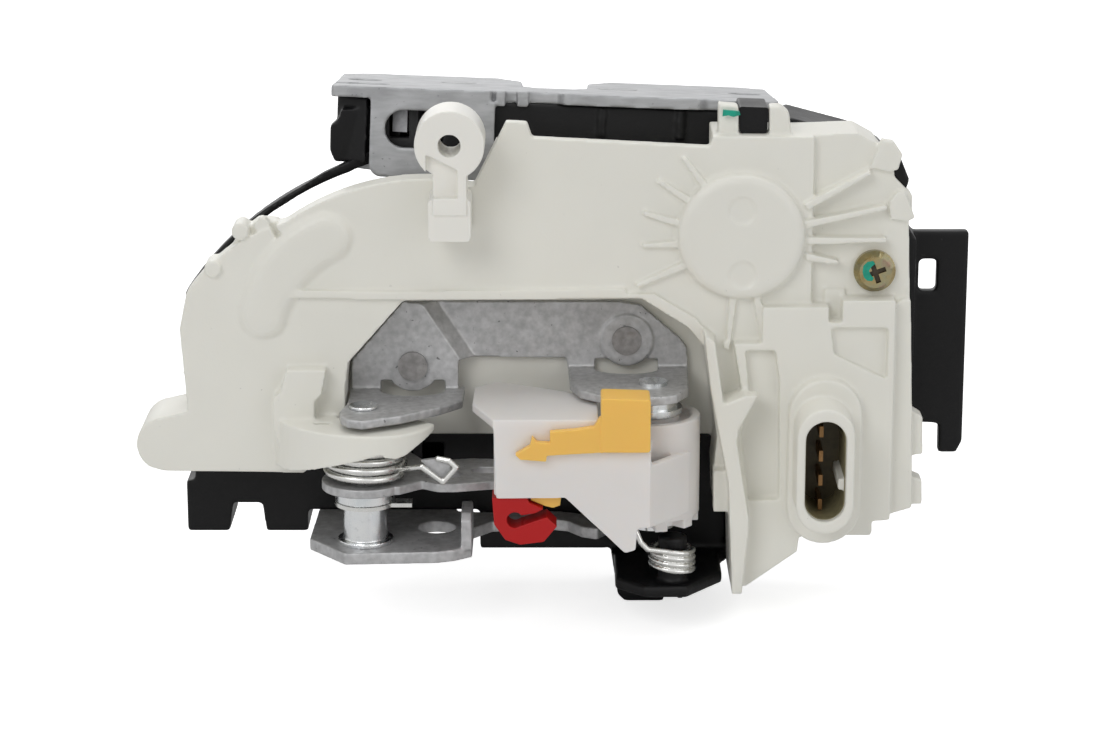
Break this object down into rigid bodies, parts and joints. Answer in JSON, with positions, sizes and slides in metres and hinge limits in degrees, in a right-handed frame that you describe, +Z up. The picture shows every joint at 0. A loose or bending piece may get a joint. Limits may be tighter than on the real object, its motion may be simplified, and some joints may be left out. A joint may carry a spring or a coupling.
{
  "type": "door latch actuator",
  "caption": "Car door latch with powered lock: steel shut-face plate with claw and pawl, moulded cover and base, release levers, lock rod eye and connector socket.",
  "frame": {"origin": "centre of the shut-face plate's outer face, midway between its two tapped fixing holes", "axes": "+X along the length towards the connector end, +Y away from the cover's face, +Z up towards the shut face"},
  "size_m": [0.1692, 0.0821, 0.1085],
  "materials": {
    "plate_steel": "zinc plated sheet, mid grey",
    "bracket_steel": "phosphated sheet with fine speckle",
    "claw_steel": "hardened steel",
    "rivet_steel": "dull rivet",
    "bright_zinc": "bright zinc",
    "spring_wire": "bright spring wire",
    "gold_zinc": "yellow chromated zinc",
    "worm_brass": "cut brass",
    "terminal_brass": "tinned brass",
    "ivory_plastic": "satin ivory moulding",
    "white_plastic": "bright white moulding",
    "cam_nylon": "natural nylon, slightly translucent",
    "gear_nylon": "natural acetal",
    "overmould": "black soft moulding",
    "black_plastic": "black glass-filled moulding",
    "switch_plastic": "dark switch body",
    "yellow_plastic": "amber yellow moulding",
    "red_plastic": "bright red moulding",
    "buffer_rubber": "black rubber"
  },
  "bodies": {
    "housing": {"latch_plate": "plate_steel", "latch_case": "black_plastic", "latch_back_plate": "plate_steel", "claw_pin": "bright_zinc", "pawl_pin": "bright_zinc", "claw_spring": "spring_wire", "pawl_spring": "spring_wire", "striker_buffer": "buffer_rubber", "actuator_cover": "ivory_plastic", "actuator_base": "black_plastic", "lever_bracket": "bracket_steel", "bracket_rivets": "rivet_steel", "lower_bracket": "bracket_steel", "lower_bracket_screws": "bright_zinc", "lever_pin": "bright_zinc", "lever_clip": "spring_wire", "cam_pin": "bright_zinc", "cam_bushing": "bright_zinc", "release_spring": "spring_wire", "cam_spring": "spring_wire", "gear_axle": "bright_zinc", "motor_can": "bright_zinc", "motor_end_cap": "black_plastic", "motor_terminals": "terminal_brass", "circuit_carrier": "black_plastic", "connector_terminals": "terminal_brass", "micro_switches": "switch_plastic", "cover_screw": "gold_zinc", "rim_catch": "black_plastic"},
    "claw_body": {"claw": "claw_steel", "claw_overmould": "overmould"},
    "pawl_body": {"pawl": "claw_steel"},
    "release_lever_body": {"release_lever": "bracket_steel"},
    "release_link_body": {"release_link": "bracket_steel"},
    "handle_cam_body": {"handle_cam": "cam_nylon", "cable_hook": "red_plastic", "cable_keeper": "yellow_plastic"},
    "transport_clip_body": {"transport_clip": "yellow_plastic"},
    "lock_lever_body": {"lock_lever": "white_plastic", "lock_shaft": "white_plastic", "lock_crank": "white_plastic"},
    "lock_slide_body": {"lock_slide": "gear_nylon"},
    "worm_wheel_body": {"worm_wheel": "gear_nylon"},
    "worm_body": {"worm": "worm_brass", "motor_shaft": "bright_zinc"}
  },
  "joints": [
    {"name": "claw_turn", "type": "hinge", "parent": "housing", "child": "claw_body", "pos_m": [0.01299, 0, -0.0005], "axis": [0.0381, 0.1132, 0.9928], "range_deg": [0, 65], "deforming": ["claw_spring"]},
    {"name": "pawl_turn", "type": "hinge", "parent": "housing", "child": "pawl_body", "pos_m": [-0.01999, 0.00199, 0.00054], "axis": [0.0381, 0.1132, 0.9928], "range_deg": [0, 9.1], "deforming": ["pawl_spring"]},
    {"name": "release_lever_turn", "type": "hinge", "parent": "housing", "child": "release_lever_body", "pos_m": [-0.0381, -0.0436, -0.0727], "axis": [0, 0, 1], "range_deg": [-7.8, 0], "deforming": ["release_spring"]},
    {"name": "release_link_slide", "type": "slide", "parent": "housing", "child": "release_link_body", "axis": [1, 0, 0], "range_m": [0, 0.0033]},
    {"name": "handle_cam_turn", "type": "hinge", "parent": "housing", "child": "handle_cam_body", "pos_m": [0.0196, -0.0394, -0.0704], "axis": [0, 0, 1], "range_deg": [0, 10.5], "deforming": ["cam_spring"]},
    {"name": "transport_clip_pull", "type": "slide", "parent": "handle_cam_body", "child": "transport_clip_body", "axis": [0, -1, 0], "range_m": [0, 0.015]},
    {"name": "worm_wheel_turn", "type": "hinge", "parent": "housing", "child": "worm_wheel_body", "pos_m": [0.0376, -0.0256, -0.0229], "axis": [0, -1, 0], "range_deg": [0, 57]},
    {"name": "worm_turn", "type": "hinge", "parent": "housing", "child": "worm_body", "pos_m": [0.0531, -0.0256, -0.0229], "axis": [0, 0, 1], "range_deg": [-1711, 0]},
    {"name": "lock_slide_move", "type": "slide", "parent": "housing", "child": "lock_slide_body", "axis": [1, 0, 0], "range_m": [0, 0.004]},
    {"name": "lock_lever_turn", "type": "hinge", "parent": "housing", "child": "lock_lever_body", "pos_m": [-0.0205, -0.039, -0.0191], "axis": [0, -1, 0], "range_deg": [0, 26.5]}
  ],
  "couplings": [
    {"joint": "release_link_slide", "follows": "release_lever_turn", "m_per_rad": -0.02409},
    {"joint": "pawl_turn", "follows": "release_lever_turn", "ratio": -1.158},
    {"joint": "handle_cam_turn", "follows": "release_lever_turn", "ratio": -1.345},
    {"joint": "worm_turn", "follows": "worm_wheel_turn", "ratio": -30},
    {"joint": "lock_slide_move", "follows": "worm_wheel_turn", "m_per_rad": 0.004},
    {"joint": "lock_lever_turn", "follows": "worm_wheel_turn", "ratio": 0.4646}
  ]
}
